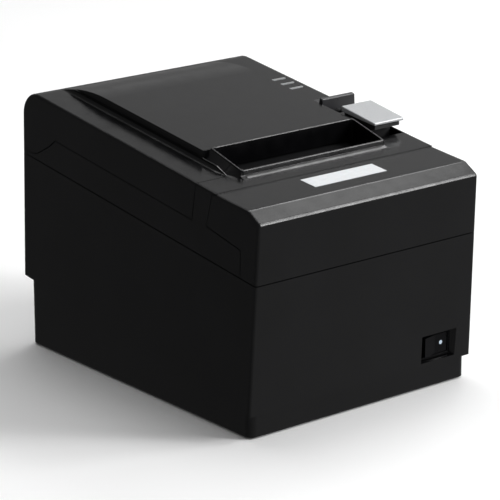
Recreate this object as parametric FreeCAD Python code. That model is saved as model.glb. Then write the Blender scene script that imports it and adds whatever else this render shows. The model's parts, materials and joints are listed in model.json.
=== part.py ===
import FreeCAD, Part
import math
import os

# A receipt printer with a hinged lid, modelled in millimetres.
# +X is the right-hand side, +Y the rear, +Z up.
# The origin is the middle of the surface that the printer stands on.
# Most seams rise to the rear with one slope. Such a seam has one level: its height at Y = 0.

# ---- driving dimensions ----
WIDTH = 145.0            # across the case, at REF_Z
DRAFT = 0.022            # each side leans in by this much per mm of height
REF_Z = 80.0             # height at which WIDTH and FRONT_Y are measured
FRONT_Y = -97.1          # front face at REF_Z
FRONT_LEAN = 0.05        # the front leans forward by this much per mm of height
REAR_Y = 98.6            # rear face
SLOPE = 0.1334           # rise to the rear of the seams and the top
BASE_SEAM = 25.2         # level of the seam between base tray and lower case
MID_SEAM = 93.0          # level of the seam between lower and upper case
SKIRT = 109.0            # level of the lid skirt's lower edge
TOP = 128.0              # level of the shoulders
PANEL = 133.9            # level of the raised panel of the lid
WALL = 2.6               # moulded walls
GAP = 0.4                # visible seams between mouldings
EDGE_R = 1.5             # rounding along both sides of the case
REAR_R = 12.0            # rounding of the rear top edge
FOOT_H = 1.0             # rubber feet below the base tray
SHEET = 1.2              # sheet steel
RUN = 0.05               # radial clearance of a running fit

# ---- places that several pieces share ----
FAR = 140.0                                # beyond the case in any direction
HINGE = (89.9, 122.0)                      # lid hinge axis, as Y and Z
HINGE_PIN_R = 2.0
KNUCKLE_R = 14.5                           # lid clears the case on this radius about the hinge
LID_RIGHT = 48.2                           # right-hand edge of the lid
LID_FRONT = -49.9                          # front edge of the lid on its left shoulder
RIM_SIDE = -46.7                           # outer face of the exit rim on its left
EXIT_SPLIT = -46.0                         # where the exit rim divides between lid and case
BROW_LOW = 111.0                           # level at which the front turns into the brow
BROW_REAR = -89.9                          # where the brow meets the deck
BROW_TOP = 116.3                           # height of the deck there
BROW_LOW_R = 2.4                           # rounding between front and brow
BROW_HIGH_R = 3.0                          # rounding between brow and deck
DECK_SLOPE = 0.0962                        # rise of the bezel's deck to the rear
DECK_END = -40.0                           # the deck runs on to here, under the exit rim
BEZEL_REAR = -65.2                         # rear edge of the front bezel on the top
PANEL_LEFT = -50.5
PANEL_RIGHT = 47.5
PANEL_CURVE = 52.0                         # from here to the rear the panel curves down
PANEL_CURVE_R = 100.0
EXIT = (-45.4, 46.4, -53.6, -30.6)         # paper exit: low X, high X, low Y, high Y
RIM_REAR = (-29.4, 130.4)                  # top of the exit rim at its rear, as Y and Z
RIM_FRONT = (-54.6, 123.3)                 # top of the exit rim at its front
PLATEN = (-36.9, 100.0)                    # platen axis, as Y and Z
PLATEN_R = 6.5
SHAFT_R = 2.0
PLATE_X = 46.4                             # inner face of each side plate of the chassis
ROLL = (25.6, 84.0)                        # middle of a full paper roll, as Y and Z
ROLL_SPACE_R = 43.0
BAY_HALF = 41.0                            # half the inner width of the paper bay
GEAR_X = (-58.2, -54.4)                    # the gear train, outside the left-hand side plate
MODULE = 0.8
PLATEN_TEETH = 24
IDLER_TEETH = 40
PINION_TEETH = 12
CUTTER_PINION = (-30.0, -70.0)             # cutter pinion axis, as X and Y
CUTTER_TEETH = 10
BLADE_Z = 107.9                            # underside of the moving blade
SWITCH = (50.3, 22.4)                      # middle of the power switch, as X and Z
PLUG_Y = 80.0                              # rear face of the connector panel
BOSSES = [(-60.0, -66.0), (60.0, -66.0), (-60.0, 66.0), (60.0, 66.0)]
LEVER = (50.7, 71.2, -43.2, -17.0)         # open lever: low X, high X, front Y, rear Y
LEVER_PIVOT = (-10.0, 117.0)               # as Y and Z
LATCH = (-52.0, 80.0)                      # latch shaft axis, as Y and Z
BUTTON = (48.8, 71.0, -4.6, 5.8)           # feed button: low X, high X, front Y, rear Y
NAME_PLATE = (-21.6, 25.4, -81.0, -69.6)   # low X, high X, low Y, high Y
LIGHT_X = (57.0, 67.0)                     # both ends of each status light
LIGHT_Y = (33.5, 40.9, 48.3)               # middles of the three status lights
CROSS_PLATE_Y = -61.0                      # face of the cross plate that the head springs push against
HEAD_PIVOT = (10.0, -13.0)                 # as distance from the platen, and height along the head


# ---- small geometry helpers ----
def vec(x, y, z):
    return FreeCAD.Vector(x, y, z)


def box(x0, x1, y0, y1, z0, z1):
    return Part.makeBox(x1 - x0, y1 - y0, z1 - z0, vec(x0, y0, z0))


def cyl_x(y, z, r, x0, x1):
    return Part.makeCylinder(r, x1 - x0, vec(x0, y, z), vec(1, 0, 0))


def cyl_y(x, z, r, y0, y1):
    return Part.makeCylinder(r, y1 - y0, vec(x, y0, z), vec(0, 1, 0))


def cyl_z(x, y, r, z0, z1):
    return Part.makeCylinder(r, z1 - z0, vec(x, y, z0), vec(0, 0, 1))


def face_yz(points, x):
    corners = [vec(x, y, z) for y, z in points]
    return Part.Face(Part.makePolygon(corners + corners[:1]))


def prism_x(points, x0, x1):
    """Side-view outline, as Y and Z, swept across from x0 to x1."""
    return face_yz(points, x0).extrude(vec(x1 - x0, 0, 0))


def prism_y(points, y0, y1):
    """Front-view outline, as X and Z, swept back from y0 to y1."""
    corners = [vec(x, y0, z) for x, z in points]
    return Part.Face(Part.makePolygon(corners + corners[:1])).extrude(vec(0, y1 - y0, 0))


def prism_z(points, z0, z1):
    """Plan outline, as X and Y, swept up from z0 to z1."""
    corners = [vec(x, y, z0) for x, y in points]
    return Part.Face(Part.makePolygon(corners + corners[:1])).extrude(vec(0, 0, z1 - z0))


def rising(level, y):
    """Height at y of a seam with this level."""
    return level + SLOPE * y


def band(low, high, x0=-FAR, x1=FAR, y0=-FAR, y1=FAR):
    """Everything between two rising levels."""
    outline = [(y0, rising(low, y0)), (y1, rising(low, y1)), (y1, rising(high, y1)), (y0, rising(high, y0))]
    return prism_x(outline, x0, x1)


def half_width(z):
    return WIDTH / 2 - DRAFT * (z - REF_Z)


def front_y(z):
    return FRONT_Y - FRONT_LEAN * (z - REF_Z)


def round_edges(shape, radius, chosen):
    return shape.makeFillet(radius, [edge for edge in shape.Edges if chosen(edge)])


def save(name, *solids):
    """Write one node, as a single solid or as a group of separate ones."""
    pieces = [piece for solid in solids for piece in solid.Solids]
    shape = pieces[0] if len(pieces) == 1 else Part.makeCompound(pieces)
    shape.exportStep("parts/" + name + ".step")
    print(f"{name}: {len(pieces)} solid(s), valid {shape.isValid()}, {shape.Volume / 1000:.2f} cm3")


# ---- outer form of the case ----
def sides(inset):
    """The space between the two drafted sides, inset by this much."""
    low = half_width(-10) - inset
    high = half_width(FAR + 30) - inset
    return prism_y([(-low, -10), (low, -10), (high, FAR + 30), (-high, FAR + 30)], -FAR, FAR)


def on_a_side(edge):
    return all(abs(abs(v.X) - half_width(v.Z)) < 0.01 for v in edge.Vertexes)


def across_at(edge, y, z):
    """True for a long edge that runs across the case at this place in side view."""
    middle = edge.CenterOfMass
    return edge.Length > WIDTH / 2 and abs(middle.y - y) < 0.01 and abs(middle.z - z) < 0.01


def case_form(inset=0.0):
    """The case with flat shoulders, before it is divided into mouldings."""
    nose_z = 108.0
    outline = [
        (front_y(0), 0),
        (front_y(nose_z), nose_z),
        (BROW_REAR, rising(TOP, BROW_REAR)),
        (REAR_Y, rising(TOP, REAR_Y)),
        (REAR_Y, 0),
    ]
    face = face_yz(outline, -FAR)
    if inset:
        face = face.makeOffset2D(-inset)
    body = face.extrude(vec(2 * FAR, 0, 0)).common(sides(inset))
    rear_top = lambda e: all(v.Z > 125 and v.Y > REAR_Y - inset - 0.01 for v in e.Vertexes)
    body = round_edges(body, REAR_R - inset, rear_top)
    if inset:
        return body
    return round_edges(body, EDGE_R, on_a_side)


def bezel_form(inset=0.0):
    """The nose of the case: a drafted front, a flat sloping brow and a flatter deck."""
    outline = [
        (front_y(0), 0),
        (front_y(BROW_LOW), BROW_LOW),
        (BROW_REAR, deck_z(BROW_REAR)),
        (DECK_END, deck_z(DECK_END)),
        (DECK_END, 0),
    ]
    face = face_yz(outline, -FAR)
    if inset:
        face = face.makeOffset2D(-inset)
    body = face.extrude(vec(2 * FAR, 0, 0)).common(sides(inset))
    if inset:
        return body
    body = round_edges(body, BROW_LOW_R, lambda e: across_at(e, front_y(BROW_LOW), BROW_LOW))
    body = round_edges(body, BROW_HIGH_R, lambda e: across_at(e, BROW_REAR, deck_z(BROW_REAR)))
    return round_edges(body, EDGE_R, lambda e: on_a_side(e) and e.CenterOfMass.y < DECK_END - 1)


def raised_profile(inset=0.0):
    """Side view of the raised part of the top, swept across everything."""
    top = PANEL - inset
    norm = math.hypot(1, SLOPE)
    start = (PANEL_CURVE, rising(top, PANEL_CURVE))
    radius = PANEL_CURVE_R - inset
    centre = (start[0] + radius * SLOPE / norm, start[1] - radius / norm)
    rear = REAR_Y - inset

    def on_curve(y):
        return vec(-FAR, y, centre[1] + math.sqrt(radius ** 2 - (y - centre[0]) ** 2))

    floor = rising(TOP, -FAR) - 8
    points = [
        vec(-FAR, rear, floor),
        vec(-FAR, RIM_FRONT[0] + inset, floor),
        vec(-FAR, RIM_FRONT[0] + inset, RIM_FRONT[1] - inset),
        vec(-FAR, RIM_REAR[0], rising(top, RIM_REAR[0])),
        vec(-FAR, start[0], start[1]),
    ]
    edges = [Part.makeLine(a, b) for a, b in zip(points, points[1:])]
    end = on_curve(rear)
    edges.append(Part.Arc(points[-1], on_curve((start[0] + rear) / 2), end).toShape())
    edges.append(Part.makeLine(end, points[0]))
    return Part.Face(Part.Wire(edges)).extrude(vec(2 * FAR, 0, 0))


def plateau(inset=0.0):
    """The raised part of the top: the lid's panel, and the slope that carries the exit rim."""
    # the left-hand wall keeps its lean all along, because it is swept parallel to the shoulder
    lean = [
        (PANEL_LEFT - 2.6 + inset, -20),
        (PANEL_LEFT - 1.4 + inset, 0),
        (PANEL_LEFT + inset, 8),
        (PANEL_LEFT + inset, 30),
        (PANEL_RIGHT - inset, 30),
        (PANEL_RIGHT - inset, -20),
    ]
    solid = raised_profile(inset).common(along_shoulder(lean, -80, FAR))
    step_y = RIM_REAR[0] - 0.5 + inset
    plan = [
        (PANEL_LEFT - 6, REAR_Y + 1),
        (PANEL_LEFT - 6, step_y),
        (RIM_SIDE + inset, step_y),
        (RIM_SIDE + inset, RIM_FRONT[0]),
        (PANEL_RIGHT + 1, RIM_FRONT[0]),
        (PANEL_RIGHT + 1, REAR_Y + 1),
    ]
    solid = solid.common(prism_z(plan, 100, 160))
    rear_edge = lambda e: all(v.Y > REAR_Y - inset - 0.01 and v.Z > 128 for v in e.Vertexes)
    return round_edges(solid, 8.0 - inset / 2, lambda e: rear_edge(e) and e.Length > 50)


def along_shoulder(points, y0, y1):
    """An outline of X and height above the shoulder, swept parallel to the shoulder."""
    corners = [vec(x, y0, rising(TOP, y0) + up) for x, up in points]
    return Part.Face(Part.makePolygon(corners + corners[:1])).extrude(vec(0, y1 - y0, SLOPE * (y1 - y0)))


def rim_flank():
    """The slope between the exit rim's left-hand side and the line of the panel's foot."""
    def section(y, foot_x):
        shoulder = rising(TOP, y)
        share = (y - RIM_FRONT[0]) / (RIM_REAR[0] - RIM_FRONT[0])
        top = RIM_FRONT[1] + share * (RIM_REAR[1] - RIM_FRONT[1])
        inner_x = RIM_SIDE + 1.3
        points = [
            (foot_x, shoulder - WALL), (foot_x, shoulder), (RIM_SIDE, top), (inner_x, top),
            (inner_x, shoulder - WALL),
        ]
        corners = [vec(x, y, z) for x, z in points]
        return Part.makePolygon(corners + corners[:1])

    foot = PANEL_LEFT - 1.5
    rear = section(RIM_REAR[0] - 0.5, foot)
    middle = section(-47.0, foot)
    front = section(RIM_FRONT[0], RIM_SIDE - 0.7)
    return Part.makeLoft([rear, middle], True, True).fuse(Part.makeLoft([middle, front], True, True))


def hollow_foot(width, height):
    """Outline of a concave moulding, as distances out from a wall and up from its foot."""
    points = [(-1.0, -1.0), (-1.0, height), (0.0, height)]
    for n in range(1, 8):
        angle = math.pi / 2 * n / 8
        points.append((width * (1 - math.cos(angle)), height * (1 - math.sin(angle))))
    return points + [(width, 0.0), (width, -1.0)]


def side_hollow(size):
    """Outline of the hollow along the panel's left-hand side, at this share of its full size."""
    wall_x = PANEL_LEFT - 1.5
    outline = [(wall_x + 0.3, 2.6 * size), (wall_x - 0.35 * size, 2.6 * size)]
    outline += [(wall_x - size * (0.35 + out), up) for out, up in hollow_foot(2.0, 2.2 * size)[2:-1]]
    return outline + [(wall_x - size * 2.35, -1.0), (wall_x + 0.3, -1.0)]


def foot_mouldings():
    """The hollow where the raised part meets the shoulder: along its left side, and in front of the rim."""
    full_y = -42.0
    ends = []
    for y, size in ((full_y, 1.0), (-49.4, 0.1)):
        corners = [vec(x, y, rising(TOP, y) + up) for x, up in side_hollow(size)]
        ends.append(Part.makePolygon(corners + corners[:1]))
    side = along_shoulder(side_hollow(1.0), full_y, REAR_Y).common(raised_profile())
    side = side.fuse(Part.makeLoft(ends, True, True))
    y0, z0 = RIM_FRONT[0] - 0.2, rising(TOP, RIM_FRONT[0])
    front = [(y0 - out, z0 - SLOPE * out + up) for out, up in hollow_foot(4.4, 0.9)]
    return side.fuse(prism_x(front, RIM_SIDE - 0.7, PANEL_RIGHT - 0.3))


def exit_hole():
    low_x, high_x, low_y, high_y = EXIT
    hole = box(low_x, high_x, low_y, high_y, 104, 150)
    return round_edges(hole, 1.6, lambda e: abs(e.Vertexes[0].Z - e.Vertexes[-1].Z) > 10)


def exit_rim():
    """A thin lip with a rounded crown that stands round the paper exit."""
    low_x, high_x = EXIT[:2]
    lip = 1.2
    rise = 0.7
    front = vec(0, RIM_FRONT[0] - 0.2, RIM_FRONT[1] + rise)
    rear = vec(0, RIM_REAR[0], RIM_REAR[1] + rise - 0.2)
    rail = [(front.y, front.z - 3.9), (front.y, front.z), (rear.y, rear.z), (rear.y, rear.z - 4.5)]
    block = prism_x(rail, low_x - lip, high_x + lip)
    upright = lambda e: e.Length < 8 and abs(e.CenterOfMass.x) > 40 and e.tangentAt(0).z ** 2 > 0.99
    lip_ring = round_edges(block, 1.2, upright).cut(exit_hole())
    slope = (rear.z - front.z) / (rear.y - front.y)

    def on_crown(edge):
        return all(abs(v.Z - front.z - slope * (v.Y - front.y)) < 0.01 for v in edge.Vertexes)

    return round_edges(lip_ring, 0.45, on_crown)


def lid_side_outline(grow):
    """Side view of everything that belongs to the lid, grown by the seam gap for its cut-out."""
    hy, hz = HINGE
    arc_r = KNUCKLE_R + grow
    skirt = SKIRT - grow
    arc = []
    for degrees in range(304, 232, -8):
        angle = math.radians(degrees)
        arc.append((hy + arc_r * math.cos(angle), hz + arc_r * math.sin(angle)))
    rear = [(FAR, arc[0][1]), (arc[0][0], arc[0][1])] if grow else [(FAR, arc[0][1])]
    neck = [(77.6 - grow, 112.4 - grow), (74.0 - grow, 114.4 - grow), (69.0 - grow, rising(skirt, 69.0))]
    front = [
        (LID_FRONT + 2.9 - grow, rising(skirt, LID_FRONT)),
        (LID_FRONT - grow, rising(TOP, LID_FRONT)),
        (LID_FRONT - grow, FAR + 20),
        (FAR, FAR + 20),
    ]
    return rear + arc + neck + front


def lid_space(grow=0.0):
    """The space that the lid takes out of the case."""
    outline = lid_side_outline(grow)
    left = prism_x(outline, -FAR, PANEL_LEFT - 3.2 + grow)
    whole = prism_x(outline, PANEL_LEFT - 3.3, LID_RIGHT + grow)
    keep = box(-FAR, FAR, EXIT_SPLIT - grow, FAR, 0, FAR + 30)
    return left.fuse(whole.common(keep))


def bezel_space(grow=0.0):
    """Side view of the front bezel: the whole nose, and a wing along each side."""
    top_seam = BEZEL_REAR + min(grow, 0.1)
    outline = [
        (-FAR, rising(MID_SEAM, -FAR) - 20),
        (-85.5 + grow, rising(MID_SEAM, -85.5) - 20),
        (-85.3 + grow, 95.9 - grow),
        (-58.9 + grow, 101.7 - grow),
        (-63.0 + grow, rising(TOP, -63.0) - 1.0),
        (top_seam, rising(TOP, BEZEL_REAR) - 0.6),
        (top_seam, FAR),
        (-FAR, FAR),
    ]
    return prism_x(outline, -FAR, FAR)


# ---- gears ----
def tooth_outline(teeth, phase, backlash):
    """Closed outline of a spur gear about the origin: straight flanks at 20 degrees."""
    pitch_r = MODULE * teeth / 2
    flank = math.tan(math.radians(20))
    outline = []
    for n in range(teeth):
        middle = phase + 2 * math.pi * n / teeth
        steps = [(-1, -1.15), (-1, 0.95), (1, 0.95), (1, -1.15)]
        for side, height in steps:
            r = pitch_r + height * MODULE
            half = math.pi * MODULE / 4 - backlash / 2 - height * MODULE * flank
            angle = middle + side * half / r
            outline.append((r * math.cos(angle), r * math.sin(angle)))
    return outline


def spur_gear(teeth, axis_yz, phase, bore_r, x0=GEAR_X[0], x1=GEAR_X[1], backlash=0.24):
    y, z = axis_yz
    outline = [(y + a, z + b) for a, b in tooth_outline(teeth, phase, backlash)]
    return prism_x(outline, x0, x1).cut(cyl_x(y, z, bore_r, x0 - 1, x1 + 1))


def lift_direction():
    """Unit vector along which the platen leaves the mechanism as the lid opens."""
    dy = PLATEN[0] - HINGE[0]
    dz = PLATEN[1] - HINGE[1]
    reach = math.hypot(dy, dz)
    return (dz / reach, -dy / reach)


def gear_train():
    """Axis and tooth phase of the platen gear, the idler and the motor pinion."""
    up = lift_direction()
    down_angle = math.atan2(-up[1], -up[0])
    reach = MODULE * (PLATEN_TEETH + IDLER_TEETH) / 2
    idler = (PLATEN[0] - up[0] * reach, PLATEN[1] - up[1] * reach)
    idler_phase = down_angle + math.pi + math.pi / IDLER_TEETH
    pinion_angle = math.radians(225)
    reach = MODULE * (IDLER_TEETH + PINION_TEETH) / 2
    pinion = (idler[0] + reach * math.cos(pinion_angle), idler[1] + reach * math.sin(pinion_angle))
    pitch = 2 * math.pi / IDLER_TEETH
    offset = (idler_phase - pinion_angle) % pitch
    pinion_phase = pinion_angle + math.pi - offset * IDLER_TEETH / PINION_TEETH + math.pi / PINION_TEETH
    return [(PLATEN, down_angle), (idler, idler_phase), (pinion, pinion_phase)]


# ---- base ----
def base_tray():
    low = box(-FAR, FAR, -FAR, FAR, FOOT_H, FAR)
    outer = case_form().common(low).common(band(-60, BASE_SEAM - 0.3))
    step = 2.0
    inset = box(-half_width(15) + step, half_width(15) - step, front_y(0) + 0.8, REAR_Y - 4, 0, FAR)
    inset = round_edges(inset, 4.0, lambda e: abs(e.Vertexes[0].Z - e.Vertexes[-1].Z) > 10)
    tray = outer.common(inset)
    inner = box(-half_width(15) + step + WALL, half_width(15) - step - WALL,
                front_y(0) + 0.8 + WALL, REAR_Y - 4 - WALL, FOOT_H + WALL, FAR)
    tray = tray.cut(inner)
    for x, y in BOSSES:
        tray = tray.fuse(cyl_z(x, y, 4.5, FOOT_H + 1, 12))
    for x, y in BOSSES:
        tray = tray.cut(cyl_z(x, y, 1.7, 0, 20)).cut(cyl_z(x, y, 3.2, 0, 4))
    for x in (-36, 0, 36):
        for y in (-60, 50):
            tray = tray.fuse(cyl_z(x, y, 2.5, FOOT_H + 1, 6.5))
    cable_window = box(-56, 56, REAR_Y - 10, REAR_Y, 5, 60)
    for x in (-40, -20, 0, 20, 40):
        slot = box(x - 6, x + 6, -20, -17, 0, 8)
        tray = tray.cut(slot)
    save("base_tray", tray.cut(cable_window))


def rubber_feet():
    feet = []
    for x in (-56, 56):
        for y in (-84, 82):
            foot = cyl_z(x, y, 6.0, 0, FOOT_H)
            feet.append(round_edges(foot, 0.4, lambda e: e.BoundBox.ZMax < 0.01))
    save("rubber_feet", *feet)


def base_screws():
    screws = []
    for x, y in BOSSES:
        head = cyl_z(x, y, 2.8, 2.2, 4.0)
        head = head.cut(box(x - 2.2, x + 2.2, y - 0.4, y + 0.4, 2, 3))
        head = head.cut(box(x - 0.4, x + 0.4, y - 2.2, y + 2.2, 2, 3))
        screws.append(head.fuse(cyl_z(x, y, 1.5, 3.5, 22)))
    save("base_screws", *screws)


# ---- lower and upper case ----
def lower_case(shell):
    case = shell.common(band(BASE_SEAM, MID_SEAM - 0.25))
    sx, sz = SWITCH
    face_at = front_y(sz)
    tub = box(sx - 13.5, sx + 17.5, face_at + 1.0, face_at + 7, sz - 9.2, sz + 10.5)
    case = case.fuse(tub.common(case_form(0.5)).common(band(BASE_SEAM, MID_SEAM)))
    well = [(sx - 11.4, sz - 8.6), (sx + 14.6, sz - 8.6), (sx + 14.6, sz + 7.4), (sx - 11.4, sz + 7.4)]
    floor = [(sx - 10.6, sz - 6.8), (sx + 10.6, sz - 6.8), (sx + 10.6, sz + 7.0), (sx - 10.6, sz + 7.0)]
    rings = []
    for points, y in ((well, face_at - 3), (floor, face_at + 3.0)):
        corners = [vec(x, y, z) for x, z in points]
        rings.append(Part.makePolygon(corners + corners[:1]))
    case = case.cut(Part.makeLoft(rings, True, True))
    case = case.cut(box(sx - 10.4, sx + 10.4, face_at - 2, face_at + 12, sz - 6.6, sz + 6.8))
    for x, y in BOSSES:
        low = rising(BASE_SEAM, y) + 1
        side = 1 if x > 0 else -1
        boss = cyl_z(x, y, 4.2, max(low, 12.2), max(low, 12.2) + 16)
        web_x = sorted((x, side * (half_width(30) - 1.5)))
        web = box(web_x[0], web_x[1], y - 1, y + 1, low + 4, low + 14)
        case = case.fuse(boss.fuse(web))
        case = case.cut(cyl_z(x, y, 1.55, 0, 24))
    cable_window = box(-57, 57, REAR_Y - 10, REAR_Y + 5, 0, 39.5)
    save("lower_case", case.cut(cable_window))


def upper_case(shell):
    case = shell.common(band(MID_SEAM + 0.25, FAR))
    case = case.cut(lid_space(GAP)).cut(bezel_space(GAP))
    # the front half of the exit rim, on a block that closes the nose of the raised part
    nose = plateau().fuse(exit_rim()).fuse(rim_flank()).fuse(foot_mouldings())
    nose = nose.cut(lid_space(GAP)).common(band(TOP - 5.5, FAR))
    case = case.fuse(nose).cut(exit_hole())
    # a rail behind the lid's skirt, and the web that carries it
    rail = band(MID_SEAM + 8, TOP - 9, -68.5, -66.7, LID_FRONT + 4, 62)
    web = band(MID_SEAM + 8, MID_SEAM + 10, -half_width(110) + 1, -66.7, LID_FRONT + 4, 62)
    case = case.fuse(rail).fuse(web)
    # an inner wall under the right-hand edge of the lid
    case = case.fuse(band(TOP - 12, TOP - WALL + 0.1, LID_RIGHT + GAP, LID_RIGHT + GAP + 1.6, 10, 80))
    # holes for the open lever, the feed button and the light pipes
    low_x, high_x, front, rear = LEVER
    case = case.cut(box(low_x + 0.2, high_x - 1.2, front - 1.2, rear + 1.5, 100, 150))
    low_x, high_x, front, rear = BUTTON
    case = case.cut(box(low_x + 1.0, high_x - 1.6, front + 1.0, rear - 0.6, 100, 150))
    for y in LIGHT_Y:
        case = case.cut(box(LIGHT_X[0] - 0.1, LIGHT_X[1] + 0.1, y - 1.2, y + 0.9, 100, 150))
    save("upper_case", case)


def front_bezel():
    bezel = bezel_form().cut(bezel_form(WALL)).common(band(MID_SEAM + 0.25, FAR)).common(bezel_space())
    low_x, high_x, low_y, high_y = NAME_PLATE
    plate = plate_prism(low_x - 0.1, high_x + 0.1, low_y - 0.1, high_y + 0.1, -0.5, 5)
    bezel = bezel.cut(plate)
    for x in (-45, 0, 45):
        y = front_y(100) + WALL
        bezel = bezel.fuse(box(x - 0.8, x + 0.8, y - 0.5, y + 6, 92, 108))
    save("front_bezel", bezel)


def deck_z(y):
    """Height of the bezel's flat deck."""
    return BROW_TOP + DECK_SLOPE * (y - BROW_REAR)


def plate_prism(x0, x1, y0, y1, low, high):
    """A slab that lies along the bezel's deck."""
    outline = [(y0, deck_z(y0) + low), (y1, deck_z(y1) + low)]
    outline += [(y1, deck_z(y1) + high), (y0, deck_z(y0) + high)]
    return prism_x(outline, x0, x1)


def name_plate():
    save("name_plate", plate_prism(*NAME_PLATE, -0.45, 0.15))


def light_pipes():
    pipes = []
    for y in LIGHT_Y:
        top = rising(TOP, y)
        pipe = box(LIGHT_X[0], LIGHT_X[1], y - 0.5, y + 0.8, top - 9, top + 0.25)
        pipes.append(pipe)
    save("light_pipes", *pipes)


def control_board():
    board = band(114.0, 115.6, 53, 67, 8, 60)
    lamps = []
    for y in LIGHT_Y:
        low = rising(115.6, y) + 0.3
        lamps.append(box(59, 63, y - 1, y + 1, low, low + 1.8))
    key = box(58, 64, 1, 5, rising(115.6, 3), rising(115.6, 3) + 1)
    board = band(114.0, 115.6, 53, 67, -3, 60).fuse(key)
    for lamp in lamps:
        board = board.fuse(lamp.fuse(lamp.translated(vec(0, 0, -0.5))))
    save("control_board", board)


# ---- lid ----
def lid_shell():
    raised = plateau().fuse(rim_flank()).fuse(foot_mouldings())
    outer = case_form().common(lid_space()).fuse(raised.common(lid_space()))
    rim = exit_rim().common(lid_space())
    cavity = case_form(WALL).fuse(plateau(WALL))
    lid = outer.cut(cavity)
    # the side walls of the paper exit, down to the liner
    throat = box(PANEL_LEFT + 3, PANEL_RIGHT, EXIT_SPLIT, EXIT[3] + 1.6, 119.5, 150)
    throat = throat.common(plateau(0.3)).cut(exit_hole())
    lid = lid.cut(exit_hole()).fuse(throat).fuse(rim.cut(cavity))
    # a slot in the rear wall, where the left-hand hinge bracket reaches in
    notch = box(-61.4, -56.6, REAR_Y - 8, REAR_Y + 1, 100, HINGE[1] + 7)
    save("lid_shell", lid.cut(notch))


def hinge_ear(x0, x1):
    """An ear that hangs from the liner and turns on a hinge pin."""
    hy, hz = HINGE
    arm = [
        (74, rising(121, 74)),
        (74, rising(123.1, 74)),
        (82, rising(123.1, 82)),
        (hy + 3.5, hz + 3.6),
        (hy - 3.2, hz - 4.0),
    ]
    ear = prism_x(arm, x0, x1).fuse(cyl_x(hy, hz, 5.0, x0, x1))
    return ear.cut(cyl_x(hy, hz, HINGE_PIN_R + RUN, x0 - 1, x1 + 1))


def lid_liner():
    """The moulding under the lid: a plate, its stiffening ribs and the two hinge ears."""
    plate = band(121, 123.2, -66, 44, -28, 82)
    ribs = []
    for x in (-40, -20, 0, 20):
        ribs.append(band(123.0, 130.5, x - 0.9, x + 0.9, -24, 55))
    for y in (-24, 55):
        ribs.append(band(123.0, 128.0 if y > 0 else 130.5, -46, 40, y, y + 1.8))
    liner = plate.fuse(ribs)
    liner = liner.fuse(hinge_ear(-56.4, -53.0)).fuse(hinge_ear(43.6, 47.0).common(band(0, 123.2)))
    chute = [(-28.0, rising(121, -28)), (-42.6, 112.6), (-42.6, 114.4), (-28.0, 119.2)]
    liner = liner.fuse(prism_x(chute, -43.0, 43.0))
    save("lid_liner", liner)


def platen_bracket():
    py, pz = PLATEN
    back = box(-43.2, 43.2, -30, -30 + SHEET, 97, 113.2)
    flange = box(-43.2, 43.2, -30, -24, 112, 113.2)
    bracket = back.fuse(flange)
    cheek = [(-28.8, 113.2), (-40.5, 112), (-42.4, 104), (-42.4, 98), (-38, 94.5), (-28.8, 97)]
    for x in (-43.2, 42.0):
        bracket = bracket.fuse(prism_x(cheek, x, x + SHEET))
    bracket = bracket.cut(cyl_x(py, pz, SHAFT_R + RUN, -60, 60))
    for x in (-36, -12, 12, 36):
        stud = box(x - 2, x + 2, -27.6, -24.6, 113.2, rising(121, -27.6))
        bracket = bracket.fuse(stud)
    save("platen_bracket", bracket)


def fixed_blade():
    blade = box(-41.8, 41.8, -43.2, -30.0, 107.0, 107.8)
    bevel = [(-44, 106.9), (-42.4, 106.9), (-43.2, 107.6), (-44, 107.6)]
    save("fixed_blade", blade.cut(prism_x(bevel, -50, 50)))


def platen_parts():
    py, pz = PLATEN
    save("platen_shaft", cyl_x(py, pz, SHAFT_R, -58.6, 48.0))
    rubber = cyl_x(py, pz, PLATEN_R, -40.5, 40.5).cut(cyl_x(py, pz, SHAFT_R, -60, 60))
    save("platen_roller", rubber)
    bushes = []
    for x0, x1 in ((-48.0, -44.0), (44.0, 48.0)):
        bush = cyl_x(py, pz, 4.2, x0, x1).cut(cyl_x(py, pz, SHAFT_R + RUN, x0 - 1, x1 + 1))
        bushes.append(bush)
    save("platen_bushes", *bushes)
    axis, phase = gear_train()[0]
    save("platen_gear", spur_gear(PLATEN_TEETH, axis, phase, SHAFT_R))


def hinge_parts():
    hy, hz = HINGE
    save("hinge_pins", cyl_x(hy, hz, HINGE_PIN_R, -61.2, -52.6), cyl_x(hy, hz, HINGE_PIN_R, 43.2, 52.8))
    stem = [(hy - 4.5, 96), (hy + 3.5, 96), (hy + 3.5, hz - 2), (hy - 4.5, hz - 2)]
    for name, x0 in (("hinge_bracket_left", -60.2), ("hinge_bracket_right", 50.0)):
        bracket = prism_x(stem, x0, x0 + 2.2).fuse(cyl_x(hy, hz, 4.8, x0, x0 + 2.2))
        inner = sorted((x0, PLATE_X + SHEET if x0 > 0 else -PLATE_X - SHEET))
        foot = box(inner[0], inner[1] + (2.2 if x0 > 0 else 0), hy - 9, hy + 3.5, 96, 98)
        lug_x = PLATE_X + SHEET if x0 > 0 else -PLATE_X - SHEET - 1.6
        lug = box(lug_x, lug_x + 1.6, hy - 9, hy + 3.5, 84, 98)
        bracket = bracket.fuse(foot).fuse(lug)
        save(name, bracket.cut(cyl_x(hy, hz, HINGE_PIN_R, x0 - 1, x0 + 4)))


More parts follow.
